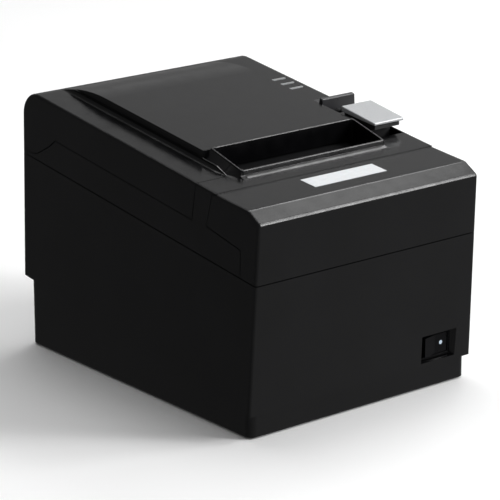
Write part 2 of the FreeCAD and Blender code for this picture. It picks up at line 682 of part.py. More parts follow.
# ---- chassis, paper bay and mechanism ----
def chassis():
    outline = [
        (-74, 12), (-74, 40), (-86, 46), (-86, 105), (-46.4, 105), (-45.2, 97), (-41, 93.5), (-33, 93.5),
        (-30.6, 97), (-29, 105), (-26, 105), (-26, 62), (70, 62), (70, 104), (94, 104), (94, 42), (62, 42),
        (62, 12),
    ]
    frame = prism_x(outline, PLATE_X, PLATE_X + SHEET).fuse(prism_x(outline, -PLATE_X - SHEET, -PLATE_X))
    frame = frame.fuse(box(-PLATE_X, PLATE_X, -74, 62, 12, 12 + SHEET))
    frame = frame.fuse(box(-PLATE_X, PLATE_X, CROSS_PLATE_Y - SHEET, CROSS_PLATE_Y, 86, 104))
    py, pz = PLATEN
    slot = cyl_x(py, pz, 4.8, -60, 60)
    frame = frame.cut(slot)
    pivot = head_point(*HEAD_PIVOT)
    idler = gear_train()[1][0]
    pinion = gear_train()[2][0]
    frame = frame.cut(cyl_x(pivot[0], pivot[1], 1.5, -60, 60))
    frame = frame.cut(cyl_x(LATCH[0], LATCH[1], SHAFT_R + RUN, -60, 60))
    frame = frame.cut(cyl_x(idler[0], idler[1], 2.0, -60, -40))
    frame = frame.cut(cyl_x(pinion[0], pinion[1], 3.0, -60, -40))
    for y in (-20, 20, 60):
        frame = frame.cut(cyl_x(y, 34, 9.0, -60, 60))
    save("chassis", frame)


def roll_bucket():
    ry, rz = ROLL
    thick = 2.0
    outer_r = ROLL_SPACE_R + thick
    rim_level = 115.0

    def trough(radius, half, top_level):
        tub = cyl_x(ry, rz, radius, -half, half)
        sides_up = [
            (ry - radius, rz), (ry + radius, rz),
            (ry + radius, rising(top_level, ry + radius)), (ry - radius, rising(top_level, ry - radius)),
        ]
        return tub.fuse(prism_x(sides_up, -half, half))

    deck = band(rim_level - thick, rim_level, -66.2, 48.2, -23, 76)
    tub = trough(outer_r, BAY_HALF + thick, rim_level - 0.5).common(band(-60, rim_level))
    bucket = tub.fuse(deck)
    save("roll_bucket", bucket.cut(trough(ROLL_SPACE_R, BAY_HALF, rim_level + 5)))


def near_end_sensor():
    body = box(-46.2, -43.4, 30, 46, 50, 62)
    save("near_end_sensor", body)


def head_point(away, up):
    """Point at a distance from the platen axis, and at a height along the head's face."""
    lift = lift_direction()
    back = (-lift[1], lift[0])
    return (PLATEN[0] + away * back[0] + up * lift[0], PLATEN[1] + away * back[1] + up * lift[1])


def head_block(away0, away1, up0, up1, x0, x1):
    corners = [(away0, up0), (away1, up0), (away1, up1), (away0, up1)]
    return prism_x([head_point(a, u) for a, u in corners], x0, x1)


def print_head():
    gap = 0.15
    save("thermal_head", head_block(PLATEN_R + gap, PLATEN_R + gap + 1.0, -9, 3.4, -40, 40))
    sink = head_block(PLATEN_R + gap + 1.0, 12.6, -16, 3.4, -40, 40)
    pivot = head_point(*HEAD_PIVOT)
    for up in (-8.0, -4.5, -1.0):
        groove = head_block(11.0, 13, up, up + 1.6, -50, 50)
        sink = sink.cut(groove)
    save("head_heat_sink", sink.cut(cyl_x(pivot[0], pivot[1], 1.5 + RUN, -60, 60)))
    save("head_pivot_pin", cyl_x(pivot[0], pivot[1], 1.5, -PLATE_X - SHEET, PLATE_X + SHEET))


def head_springs():
    """Two short coil springs between the heat sink and the cross plate."""
    mean_r = 2.6
    wire_r = 0.4
    flats = 8
    end_gap = 0.15
    rear_y = head_point(12.6, 1.2)[0]
    length = rear_y - CROSS_PLATE_Y - 2 * (wire_r + end_gap)
    section = []
    for n in range(flats + 1):
        angle = 2 * math.pi * n / flats
        section.append(vec(mean_r + wire_r * math.cos(angle), 0, wire_r * math.sin(angle)))
    springs = []
    for x in (-15.0, 15.0):
        coil = Part.makeHelix(2.0, length, mean_r).makePipeShell([Part.makePolygon(section)], True, True)
        coil.rotate(vec(0, 0, 0), vec(1, 0, 0), 90)
        coil.translate(vec(x, rear_y - wire_r - end_gap, 98.6))
        springs.append(coil)
    save("head_springs", *springs)


def drive_parts():
    (_, _), (idler, idler_phase), (pinion, pinion_phase) = gear_train()
    gear = spur_gear(IDLER_TEETH, idler, idler_phase, 2.0 + RUN)
    for n in range(5):
        angle = 2 * math.pi * n / 5
        hole_y = idler[0] + 8.5 * math.cos(angle)
        hole_z = idler[1] + 8.5 * math.sin(angle)
        gear = gear.cut(cyl_x(hole_y, hole_z, 2.6, -60, -50))
    save("idler_gear", gear)
    axle = cyl_x(idler[0], idler[1], 2.0, -59.4, -PLATE_X).fuse(cyl_x(idler[0], idler[1], 3.2, -59.6, -58.6))
    save("idler_axle", axle)
    motor = cyl_x(pinion[0], pinion[1], 17.4, -PLATE_X, -26)
    motor = motor.cut(cyl_x(pinion[0], pinion[1], 1.2, -60, -20))
    motor = motor.fuse(box(-36, -28, pinion[0] - 6, pinion[0] + 6, pinion[1] - 20.5, pinion[1] - 16))
    save("stepper_motor", motor)
    gear = spur_gear(PINION_TEETH, pinion, pinion_phase, 0.5, -59.0, -53.6)
    save("motor_pinion", gear.fuse(cyl_x(pinion[0], pinion[1], 1.0, -59.6, -28)))


# ---- cutter ----
def rack_outline():
    """Moving blade in plan: a shallow V edge, and a tab with rack teeth for the pinion."""
    px, py = CUTTER_PINION
    pitch = math.pi * MODULE
    line_x = px + MODULE * CUTTER_TEETH / 2
    root = line_x + 1.15 * MODULE
    tip = line_x - 0.95 * MODULE
    flank = math.tan(math.radians(20))
    edge = [(-41.5, -56), (-41.5, -46.6), (0, -49.0), (41.5, -46.6), (41.5, -56)]
    blade = prism_z(edge, BLADE_Z, BLADE_Z + 0.8)
    blade = blade.fuse(box(root, root + 5, -80, -55, BLADE_Z, BLADE_Z + 0.8))
    for n in range(-3, 3):
        middle = py + (n + 0.5) * pitch
        base_half = pitch / 4 - 0.12 + 1.15 * MODULE * flank
        tip_half = pitch / 4 - 0.12 - 0.95 * MODULE * flank
        tooth = [
            (root + 0.2, middle - base_half), (tip, middle - tip_half),
            (tip, middle + tip_half), (root + 0.2, middle + base_half),
        ]
        blade = blade.fuse(prism_z(tooth, BLADE_Z, BLADE_Z + 0.8))
    return blade


def cutter():
    px, py = CUTTER_PINION
    low = 105.2
    high = 111.4
    housing = box(-44, 44, -86, -46.3, low, high)
    housing = housing.cut(box(-42, 42, -57.5, -40, BLADE_Z - 0.3, BLADE_Z + 1.1))
    housing = housing.cut(box(-30, -18, -81, -57, BLADE_Z - 0.3, BLADE_Z + 1.1))
    housing = housing.cut(cyl_z(px, py, 5.6, BLADE_Z - 0.6, BLADE_Z + 2.0))
    housing = housing.cut(cyl_z(px, py, 1.05, low - 1, BLADE_Z))
    housing = housing.cut(box(-10, 40, -84, -60, low - 1, BLADE_Z + 1.6))
    save("cutter_housing", housing)
    save("moving_blade", rack_outline())
    outline = [(px + a, py + b) for a, b in tooth_outline(CUTTER_TEETH, 0.0, 0.24)]
    gear = prism_z(outline, BLADE_Z - 0.2, BLADE_Z + 1.4)
    save("cutter_pinion", gear.fuse(cyl_z(px, py, 1.0, low - 8, BLADE_Z)))
    motor = cyl_z(px, py, 7.0, 86, low)
    save("cutter_motor", motor.cut(cyl_z(px, py, 1.05, low - 9, low + 1)))


# ---- latch, lever, button and switch ----
def latch():
    ly, lz = LATCH
    shaft = cyl_x(ly, lz, SHAFT_R, -PLATE_X - 3, 58)
    hook = [(ly - 3, lz - 1.6), (ly + 2.4, lz - 1.6), (-46.2, 101.5)]
    hook += [(-43.0, 103.6), (-44.2, 107.0), (-49.4, 104.4)]
    for x in (-45.9, 44.3):
        arm = prism_x(hook, x, x + 1.6)
        shaft = shaft.fuse(arm)
    tail = [(ly - 3, lz - 1.6), (ly + 2.4, lz - 1.6), (-37.6, 100.5), (-39.6, 102.5), (-42.5, 101.5)]
    save("latch_hooks", shaft.fuse(prism_x(tail, 56.2, 57.8)))


def open_lever():
    low_x, high_x, front, rear = LEVER
    cap_rear = 134.2
    cap_front = 129.8
    cap = [(front, cap_front - 1.6), (front, cap_front), (rear, cap_rear), (rear, cap_rear - 3.2)]
    cap_solid = prism_x(cap, low_x, high_x)
    cap_solid = round_edges(cap_solid, 0.6, lambda e: True)
    py, pz = LEVER_PIVOT
    slope = (cap_rear - 3.2 - cap_front + 1.6) / (rear - front)

    def under(y):
        return cap_front - 1.6 + slope * (y - front)

    # under the cap a groove, then a short front band, then a deep undercut over the pocket
    body = [
        (front + 2.6, under(front + 2.6)),
        (front + 2.6, under(front) - 0.1),
        (front + 1.1, under(front) - 0.4),
        (front + 1.3, under(front) - 2.3),
        (front + 8.0, under(front) - 3.4),
        (front + 9.4, 112.0),
        (rear - 2, 112.0),
        (rear - 1.0, under(rear - 1.0)),
    ]
    body_solid = prism_x(body, low_x + 1.4, high_x - 2.2)
    arm = [(rear - 6, 112), (py + 3, pz - 3), (py + 3, pz + 3), (py - 3, pz + 3), (rear - 6, 119)]
    foot = box(56.0, 58.5, -33.4, -29.4, 106.5, 113)
    body_solid = body_solid.fuse(prism_x(arm, 54, 66)).fuse(foot)
    save("open_lever_cap", cap_solid)
    save("open_lever_body", body_solid.cut(cyl_x(py, pz, 1.5 + RUN, 40, 80)))
    save("lever_pivot_pin", cyl_x(py, pz, 1.5, 51, 68.0))


def feed_button():
    low_x, high_x, front, rear = BUTTON
    top = 135.3
    foot_gap = 1.3
    cap = [
        (front, rising(TOP, front) + foot_gap),
        (front + 0.3, top),
        (front + 2.5, top + 0.5),
        (front + 3.3, 132.4),
        (rear, 132.8),
        (rear, rising(TOP, rear) + foot_gap),
    ]
    button = prism_x(cap, low_x, high_x)
    button = round_edges(button, 0.5, lambda e: e.CenterOfMass.z > 134.5)
    stem = box(low_x + 1.5, high_x - 2.1, front + 1.5, rear - 1.1, 118.3, 132)
    button = button.fuse(stem)
    save("feed_button", button)


def power_switch():
    sx, sz = SWITCH
    face_at = front_y(sz)
    front = face_at + 2.6
    body = box(sx - 10.0, sx + 10.0, front, front + 12, sz - 6.2, sz + 6.4)
    body = body.cut(box(sx - 9.2, sx + 9.2, front - 1, front + 8, sz - 5.4, sz + 5.6))
    body = body.fuse(box(sx - 7, sx - 5, front + 12, front + 17, sz - 2, sz + 2))
    body = body.fuse(box(sx + 5, sx + 7, front + 12, front + 17, sz - 2, sz + 2))
    save("power_switch_body", body)
    rocker_y = front + 4.0
    key = [(-8.5, rocker_y - 4.9), (0, rocker_y - 4.1), (8.5, rocker_y - 4.9)]
    key += [(7.8, rocker_y + 1), (-7.8, rocker_y + 1)]
    rocker = prism_z([(sx + x, y) for x, y in key], sz - 5.0, sz + 5.2)
    hole = cyl_z(sx, rocker_y, 1.0 + RUN, 0, 60)
    rocker = rocker.cut(hole)
    mark = cyl_y(sx + 4.2, sz + 0.3, 1.1, rocker_y - 6, rocker_y - 4.0)
    mark = mark.common(prism_z([(sx + x, y) for x, y in key], 0, 60))
    rocker = rocker.cut(mark)
    pin = cyl_z(sx, rocker_y, 1.0, sz - 6.2, sz + 6.4)
    rest = 7.0
    for solid in (rocker, mark):
        solid.rotate(vec(sx, rocker_y, 0), vec(0, 0, 1), rest)
    save("power_rocker", rocker)
    save("rocker_mark", mark)
    save("rocker_pin", pin.cut(box(0, 90, -FAR, FAR, sz + 5.6, 90)).cut(box(0, 90, -FAR, FAR, 0, sz - 5.4)))


# ---- electronics and rear sockets ----
def main_board():
    board = box(-42, 42, -74, PLUG_Y - 2.2, 6.5, 8.1)
    for x, y, w, d in ((-20, -30, 14, 14), (14, -34, 9, 6), (10, 10, 8, 8), (-25, 25, 10, 10)):
        board = board.fuse(box(x, x + w, y, y + d, 8.0, 9.6))
    for x in (-30, -18, 20, 32):
        board = board.fuse(cyl_z(x, 40, 3.0, 8.0, 11.2))
    for solid in socket_blocks().values():
        board = board.cut(solid)
    save("main_board", board)


def socket_blocks():
    """Outer block of each socket that stands on the board, by name."""
    rear = PLUG_Y + SHEET
    return {
        "power_socket": box(26, 41, 66, rear, 8.1, 24),
        "drawer_socket": box(6, 20, 64, rear, 8.1, 22),
        "usb_socket": box(-10, 2, 65, rear, 8.1, 19.5),
    }


def sockets():
    blocks = socket_blocks()
    mouth = PLUG_Y + SHEET + 1
    depth = mouth - 9.5
    power = blocks["power_socket"].cut(cyl_y(33.5, 16, 5.6, depth, mouth))
    for x, z in ((31.4, 14.6), (35.6, 14.6), (33.5, 18.6)):
        power = power.fuse(cyl_y(x, z, 0.7, depth - 1, mouth - 3))
    save("power_socket", power)
    drawer = blocks["drawer_socket"].cut(box(8.2, 17.8, depth, mouth, 10.2, 17.2))
    drawer = drawer.cut(box(10.8, 15.2, depth, mouth, 17.0, 19.6))
    save("drawer_socket", drawer)
    usb = blocks["usb_socket"].cut(box(-8.4, 0.4, depth, mouth, 9.9, 17.9))
    save("usb_socket", usb.fuse(box(-6.6, -1.4, depth - 1, mouth - 2.5, 12.4, 15.2)))
    shell = [(-44, 12), (-46, 22), (-17, 22), (-19, 12)]
    inner = [(-43.2, 12.8), (-44.9, 21.2), (-18.1, 21.2), (-19.8, 12.8)]
    core = [(-42.2, 13.8), (-43.6, 20.2), (-19.4, 20.2), (-20.8, 13.8)]
    serial = prism_y(shell, 66, mouth + 5).cut(prism_y(inner, 70, mouth + 6))
    serial = serial.fuse(prism_y(core, 69, mouth + 4))
    serial = serial.fuse(box(-50, -13, PLUG_Y - 3, PLUG_Y, 11, 23))
    save("serial_socket", serial)


def connector_panel():
    low = FOOT_H + WALL + 0.2
    panel = box(-54, 54, PLUG_Y, PLUG_Y + SHEET, low, 39)
    panel = panel.fuse(box(-54, 54, PLUG_Y, 94.0, 39 - SHEET, 39))
    for x in (-54, 54 - SHEET):
        panel = panel.fuse(box(x, x + SHEET, PLUG_Y, 91.4, low, 39))
    for solid in socket_blocks().values():
        edge = solid.BoundBox
        low_x, high_x = edge.XMin - 0.3, edge.XMax + 0.3
        panel = panel.cut(box(low_x, high_x, PLUG_Y - 1, PLUG_Y + 3, low - 1, edge.ZMax + 0.3))
    serial_mouth = [(-44.4, 11.6), (-46.4, 22.4), (-16.6, 22.4), (-18.6, 11.6)]
    panel = panel.cut(prism_y(serial_mouth, PLUG_Y - 1, PLUG_Y + 3))
    for x in (-50.5, -12.5):
        panel = panel.cut(cyl_y(x, 17, 1.6, PLUG_Y - 1, PLUG_Y + 3))
    save("connector_panel", panel)


def build():
    os.makedirs("parts", exist_ok=True)
    shell = case_form().cut(case_form(WALL))
    base_tray()
    rubber_feet()
    base_screws()
    lower_case(shell)
    upper_case(shell)
    front_bezel()
    name_plate()
    light_pipes()
    control_board()
    lid_shell()
    lid_liner()
    platen_bracket()
    fixed_blade()
    platen_parts()
    hinge_parts()
    chassis()
    roll_bucket()
    near_end_sensor()
    print_head()
    head_springs()
    drive_parts()
    cutter()
    latch()
    open_lever()
    feed_button()
    power_switch()
    main_board()
    sockets()
    connector_panel()


build()
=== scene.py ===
import json
import math

import bmesh
import bpy
from mathutils import Matrix, Vector


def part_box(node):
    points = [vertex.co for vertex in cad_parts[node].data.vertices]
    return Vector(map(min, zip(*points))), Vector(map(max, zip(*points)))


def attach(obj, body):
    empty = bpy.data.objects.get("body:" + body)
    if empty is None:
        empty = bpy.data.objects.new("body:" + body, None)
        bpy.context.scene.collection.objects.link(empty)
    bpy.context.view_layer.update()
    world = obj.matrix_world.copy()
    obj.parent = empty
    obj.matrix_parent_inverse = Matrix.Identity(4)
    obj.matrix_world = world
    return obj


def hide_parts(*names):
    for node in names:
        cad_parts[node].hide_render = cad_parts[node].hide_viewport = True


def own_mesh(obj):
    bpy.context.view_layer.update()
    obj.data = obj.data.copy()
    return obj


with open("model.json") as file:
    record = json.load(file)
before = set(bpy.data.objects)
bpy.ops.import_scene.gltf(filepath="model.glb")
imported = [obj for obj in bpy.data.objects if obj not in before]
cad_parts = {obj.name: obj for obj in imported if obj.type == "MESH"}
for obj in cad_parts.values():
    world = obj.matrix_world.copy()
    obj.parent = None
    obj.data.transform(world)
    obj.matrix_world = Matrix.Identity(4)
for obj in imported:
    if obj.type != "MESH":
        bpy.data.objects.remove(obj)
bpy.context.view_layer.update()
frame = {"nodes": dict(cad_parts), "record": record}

MM = 0.001

# ---- camera ----
CAMERA_AZIMUTH = -39.11      # degrees from the front, towards the left-hand side
CAMERA_ELEVATION = 17.31
CAMERA_ROLL = -0.05
CAMERA_DISTANCE = 1.3604
CAMERA_TARGET = (0.00352, 0.0006, 0.06029)
CAMERA_LENS = 186.6          # mm, on a sensor 36 mm wide

# ---- painted shade ----
SHADE_PAINTED_NODES = ("platen_bracket",)   # steel given the dark inner material as painted shade, where it shows in the shaded depth of the paper exit

# ---- moulding at the foot of the exit rim's front wall, in mm ----
MOULDING_X = (-44.5, 47.2)         # its two ends
MOULDING_FOOT = (-54.8, 120.72)    # where the wall meets the deck, as Y and Z
MOULDING_RISE = 0.84               # its height up the wall
MOULDING_STRIP = 0.7               # width of each of its strips
MOULDING_SLOPES = (24, 24, 22, 17, 11, 7)   # degrees, one for each strip from the wall outwards

# ---- surround ----
WORLD_BRIGHT_AZIMUTH = 39.0  # degrees, the side of the surround that is brightest
WORLD_BRIGHT = 0.44
WORLD_DIM = 0.13
LIGHT_AIM = (0.0, 0.0, 0.06)
SOFT_BOXES = (
    # name, azimuth and elevation in degrees, distance, width and height in metres, radiance
    ("edge_low", 39.5, 17, 2.2, (0.42, 0.42), 26),
    ("edge_middle", 46, 31, 2.2, (0.42, 0.42), 27),
    ("edge_high", 61, 45, 2.2, (0.42, 0.42), 18),
    ("side", 92, 53, 2.0, (0.7, 0.5), 3.4),
    ("rear", 140, 24, 2.4, (1.6, 0.9), 0.2),
    ("shoulder", 118, 46, 2.2, (0.5, 0.4), 7),
    ("top", 150, 72, 2.0, (1.2, 1.2), 3.4),
)
FLOOR_HALF = 6.0             # metres

# ---- boards, in mm ----
BOARD_THICKNESS = 1.6
CAPACITORS = (
    # X, Y, radius, height
    (-8.0, 42.0, 4.0, 9.0),
    (2.0, 44.0, 4.0, 9.0),
    (11.5, 50.0, 3.1, 7.0),
)
CHIPS = ((-20, -30, 14), (-25, 25, 10))   # low X, low Y and size of each square chip


# ---- node material helpers ----
class Shader:
    """A material with one Principled shader, and short calls that add procedural detail to it."""

    def __init__(self, name, color, roughness, metallic=0.0, specular=0.5):
        self.material = bpy.data.materials.new(name)
        self.material.use_nodes = True
        self.nodes = self.material.node_tree.nodes
        self.links = self.material.node_tree.links
        self.principled = self.nodes["Principled BSDF"]
        self.principled.inputs["Base Color"].default_value = (*color, 1.0)
        self.principled.inputs["Roughness"].default_value = roughness
        self.principled.inputs["Metallic"].default_value = metallic
        self.principled.inputs["Specular IOR Level"].default_value = specular
        self.color = color
        self.roughness = roughness
        self.height = None
        coordinates = self.nodes.new("ShaderNodeTexCoord")
        self.place = coordinates.outputs["Object"]

    def set(self, socket, value):
        self.principled.inputs[socket].default_value = value
        return self

    def stretched(self, scale):
        mapping = self.nodes.new("ShaderNodeMapping")
        mapping.inputs["Scale"].default_value = scale
        self.links.new(self.place, mapping.inputs["Vector"])
        return mapping.outputs["Vector"]

    def noise(self, size, detail=2.0, stretch=None):
        """Noise whose features are about this many metres across."""
        node = self.nodes.new("ShaderNodeTexNoise")
        node.inputs["Scale"].default_value = 1.0 / size
        node.inputs["Detail"].default_value = detail
        self.links.new(self.stretched(stretch) if stretch else self.place, node.inputs["Vector"])
        return node.outputs["Fac"]

    def cells(self, size):
        """Distance from the middle of the nearest cell, for cells about this many metres across."""
        node = self.nodes.new("ShaderNodeTexVoronoi")
        node.inputs["Scale"].default_value = 1.0 / size
        self.links.new(self.place, node.inputs["Vector"])
        return node.outputs["Distance"]

    def ramp(self, value, low, high, from_low, from_high):
        """Maps value, clamped between from_low and from_high, to low and high."""
        node = self.nodes.new("ShaderNodeMapRange")
        node.inputs["From Min"].default_value = from_low
        node.inputs["From Max"].default_value = from_high
        node.inputs["To Min"].default_value = low
        node.inputs["To Max"].default_value = high
        self.links.new(value, node.inputs["Value"])
        return node.outputs["Result"]

    def tint(self, value, other, low=0.3, high=0.7):
        """Blends the base colour towards another one where value is high."""
        mix = self.nodes.new("ShaderNodeMix")
        mix.data_type = "RGBA"
        socket = self.principled.inputs["Base Color"]
        if socket.is_linked:
            self.links.new(socket.links[0].from_socket, mix.inputs[6])
        else:
            mix.inputs[6].default_value = (*self.color, 1.0)
        mix.inputs[7].default_value = (*other, 1.0)
        self.links.new(self.ramp(value, 0.0, 1.0, low, high), mix.inputs[0])
        self.links.new(mix.outputs[2], socket)
        return self

    def rough(self, value, spread):
        """Varies the roughness about its base value."""
        low = max(0.02, self.roughness - spread)
        high = min(1.0, self.roughness + spread)
        self.links.new(self.ramp(value, low, high, 0.3, 0.7), self.principled.inputs["Roughness"])
        return self

    def bump(self, value, depth):
        """Adds relief of about this many metres."""
        node = self.nodes.new("ShaderNodeBump")
        node.inputs["Distance"].default_value = depth
        self.links.new(value, node.inputs["Height"])
        if self.height is not None:
            self.links.new(self.height, node.inputs["Normal"])
        self.height = node.outputs["Normal"]
        self.links.new(self.height, self.principled.inputs["Normal"])
        return self

    def done(self):
        return self.material


def moulded_plastic(name, color, roughness, grain=0.00035, relief=0.000012, specular=0.5):
    """Spark-textured injection moulding: a fine grain, faint flow marks and handling wear."""
    shader = Shader(name, color, roughness, specular=specular)
    fine = shader.noise(grain, 3.0)
    broad = shader.noise(0.035, 2.0)
    lighter = tuple(c * 1.6 for c in color)
    shader.tint(broad, lighter, 0.35, 0.75)
    shader.rough(shader.noise(0.008, 3.0), 0.05)
    shader.bump(fine, relief)
    return shader.done()


def sheet_metal(name, color, roughness, stretch=(1.0, 1.0, 12.0)):
    """Rolled and plated sheet: fine drawn lines and a faint mottle."""
    shader = Shader(name, color, roughness, metallic=1.0)
    lines = shader.noise(0.0009, 2.0, stretch=stretch)
    shader.rough(lines, 0.09)
    shader.tint(shader.noise(0.012, 4.0), tuple(c * 0.8 for c in color), 0.4, 0.75)
    shader.bump(lines, 0.000004)
    return shader.done()


def rubber(name, color, roughness):
    """Moulded rubber: matt, with a dusty bloom and a fine grain."""
    shader = Shader(name, color, roughness, specular=0.3)
    shader.tint(shader.noise(0.004, 4.0), tuple(c * 1.5 + 0.01 for c in color), 0.45, 0.8)
    shader.bump(shader.noise(0.0004, 3.0), 0.00002)
    shader.rough(shader.noise(0.003, 2.0), 0.06)
    return shader.done()


def painted_silver(name):
    """Metallic paint on a moulded cap: tiny bright flakes under a clear top."""
    shader = Shader(name, (0.38, 0.39, 0.40), 0.36, metallic=0.3)
    shader.tint(shader.cells(0.00025), (0.50, 0.51, 0.52), 0.2, 0.7)
    shader.rough(shader.noise(0.004, 2.0), 0.04)
    shader.bump(shader.noise(0.0006, 2.0), 0.000006)
    shader.set("Coat Weight", 0.25).set("Coat Roughness", 0.2)
    return shader.done()


def printed_film(name):
    """A blank label: satin film with a faint print dither."""
    shader = Shader(name, (0.74, 0.76, 0.77), 0.38, specular=0.3)
    shader.tint(shader.cells(0.0005), (0.68, 0.70, 0.73), 0.3, 0.9)
    shader.bump(shader.noise(0.0012, 2.0), 0.000005)
    return shader.done()


def pad_print(name, color):
    """Pad-printed ink: slightly uneven, with a thin edge of the ground showing through."""
    shader = Shader(name, color, 0.45, specular=0.3)
    shader.tint(shader.noise(0.0007, 3.0), tuple(c * 0.7 for c in color), 0.4, 0.7)
    shader.bump(shader.noise(0.0003, 2.0), 0.000004)
    return shader.done()


def frosted_clear(name):
    """Frosted clear plastic that lets a little light through."""
    shader = Shader(name, (0.46, 0.47, 0.48), 0.3, specular=0.3)
    shader.tint(shader.noise(0.002, 2.0), (0.56, 0.57, 0.58), 0.4, 0.7)
    shader.bump(shader.noise(0.0005, 2.0), 0.00001)
    shader.set("Transmission Weight", 0.25)
    return shader.done()


def circuit_board(name):
    """Solder mask over copper: a lattice of tracks and a scatter of pads."""
    shader = Shader(name, (0.008, 0.075, 0.03), 0.3)
    brick = shader.nodes.new("ShaderNodeTexBrick")
    brick.inputs["Scale"].default_value = 330.0
    brick.inputs["Mortar Size"].default_value = 0.06
    brick.inputs["Mortar Smooth"].default_value = 0.1
    shader.links.new(shader.place, brick.inputs["Vector"])
    shader.tint(brick.outputs["Fac"], (0.02, 0.16, 0.06), 0.4, 0.6)
    shader.tint(shader.cells(0.0045), (0.55, 0.52, 0.42), 0.12, 0.08)
    shader.bump(brick.outputs["Fac"], 0.00002)
    return shader.done()


def nylon(name, color):
    """Unpainted engineering plastic or ceramic: slightly translucent and slightly mottled."""
    shader = Shader(name, color, 0.42)
    shader.set("Subsurface Weight", 0.15).set("Subsurface Scale", 0.001)
    shader.tint(shader.noise(0.006, 3.0), tuple(c * 0.88 for c in color), 0.4, 0.8)
    shader.bump(shader.noise(0.0006, 2.0), 0.000006)
    return shader.done()


def materials():
    """One material for each material slot of the record."""
    return {
        "case_black": moulded_plastic(
            "case_black", (0.0018, 0.0018, 0.0021), 0.2, specular=0.3),
        "inner_black": moulded_plastic(
            "inner_black", (0.004, 0.004, 0.0044), 0.75, grain=0.0005, specular=0.08),
        "rubber": rubber("foot_rubber", (0.018, 0.018, 0.018), 0.75),
        "platen_rubber": rubber("platen_rubber", (0.03, 0.03, 0.033), 0.5),
        "label": printed_film("label"),
        "light_pipe": frosted_clear("light_pipe"),
        "circuit_board": circuit_board("circuit_board"),
        "lever_silver": painted_silver("lever_silver"),
        "lever_grey": moulded_plastic("lever_grey", (0.02, 0.02, 0.021), 0.4, specular=0.3),
        "button_grey": moulded_plastic("button_grey", (0.022, 0.022, 0.024), 0.3, specular=0.4),
        "rocker_black": moulded_plastic(
            "rocker_black", (0.002, 0.002, 0.0025), 0.3, relief=0.000004, specular=0.08),
        "mark_white": pad_print("mark_white", (0.50, 0.60, 0.70)),
        "zinc_steel": sheet_metal("zinc_steel", (0.50, 0.51, 0.53), 0.38),
        "bright_steel": sheet_metal("bright_steel", (0.58, 0.58, 0.59), 0.26),
        "blade_steel": sheet_metal("blade_steel", (0.62, 0.63, 0.65), 0.2, stretch=(1.0, 10.0, 1.0)),
        "motor_steel": sheet_metal("motor_steel", (0.34, 0.34, 0.35), 0.35),
        "nylon": nylon("nylon", (0.68, 0.67, 0.61)),
        "brass": sheet_metal("brass", (0.60, 0.42, 0.16), 0.3),
        "ceramic": nylon("ceramic", (0.62, 0.58, 0.50)),
        "heat_sink": sheet_metal("heat_sink", (0.52, 0.53, 0.54), 0.4, stretch=(1.0, 1.0, 8.0)),
        "socket_plastic": moulded_plastic("socket_plastic", (0.012, 0.012, 0.012), 0.5),
        "socket_metal": sheet_metal("socket_metal", (0.55, 0.55, 0.56), 0.3),
    }


def dress_nodes():
    """Gives every CAD node the material of its slot, except the nodes listed for painted shade, which get
    the dark inner material instead as painted shade in the paper exit.
    """
    library = materials()
    slot_of = {row["node"]: row["material_slot"] for row in frame["record"]["subparts"]}
    for name, node in frame["nodes"].items():
        # the platen bracket takes the dark inner material here: painted shade standing in for the shade
        # deep in the paper exit
        material = library["inner_black" if name in SHADE_PAINTED_NODES else slot_of[name]]
        node.data.materials.clear()
        node.data.materials.append(material)
    return library


# ---- stage ----
def direction(azimuth, elevation):
    """Unit vector from the object towards a place seen at this azimuth and elevation."""
    a = math.radians(azimuth)
    e = math.radians(elevation)
    return Vector((math.sin(a) * math.cos(e), -math.cos(a) * math.cos(e), math.sin(e)))


def make_camera():
    data = bpy.data.cameras.new("camera")
    data.lens = CAMERA_LENS
    data.sensor_width = 36.0
    data.clip_start = 0.05
    data.clip_end = 20.0
    camera = bpy.data.objects.new("camera", data)
    bpy.context.scene.collection.objects.link(camera)
    away = direction(CAMERA_AZIMUTH, CAMERA_ELEVATION)
    camera.location = Vector(CAMERA_TARGET) + away * CAMERA_DISTANCE
    turn = away.to_track_quat("Z", "Y").to_matrix().to_4x4()
    roll = Matrix.Rotation(math.radians(CAMERA_ROLL), 4, "Z")
    camera.matrix_world = Matrix.Translation(camera.location) @ turn @ roll
    bpy.context.scene.camera = camera


def soft_box(name, azimuth, elevation, distance, size, radiance):
    """A rectangular soft light whose surface has this radiance, aimed at the object."""
    data = bpy.data.lights.new(name, "AREA")
    data.shape = "RECTANGLE"
    data.size = size[0]
    data.size_y = size[1]
    data.energy = radiance * math.pi * size[0] * size[1]
    light = bpy.data.objects.new(name, data)
    bpy.context.scene.collection.objects.link(light)
    away = direction(azimuth, elevation)
    light.location = Vector(LIGHT_AIM) + away * distance
    light.rotation_euler = away.to_track_quat("Z", "Y").to_euler()


def make_floor():
    """A pale floor that doesn't show in reflections, so that glossy sides mirror only the soft surround."""
    half = FLOOR_HALF
    corners = [(-half, -half, 0), (half, -half, 0), (half, half, 0), (-half, half, 0)]
    mesh = bpy.data.meshes.new("floor")
    mesh.from_pydata(corners, [], [(0, 1, 2, 3)])
    floor = bpy.data.objects.new("floor", mesh)
    bpy.context.scene.collection.objects.link(floor)
    shader = Shader("floor", (0.95, 0.95, 0.95), 0.9, specular=0.1)
    shader.tint(shader.noise(0.5, 2.0), (0.97, 0.97, 0.97))
    mesh.materials.append(shader.done())
    floor.visible_glossy = False


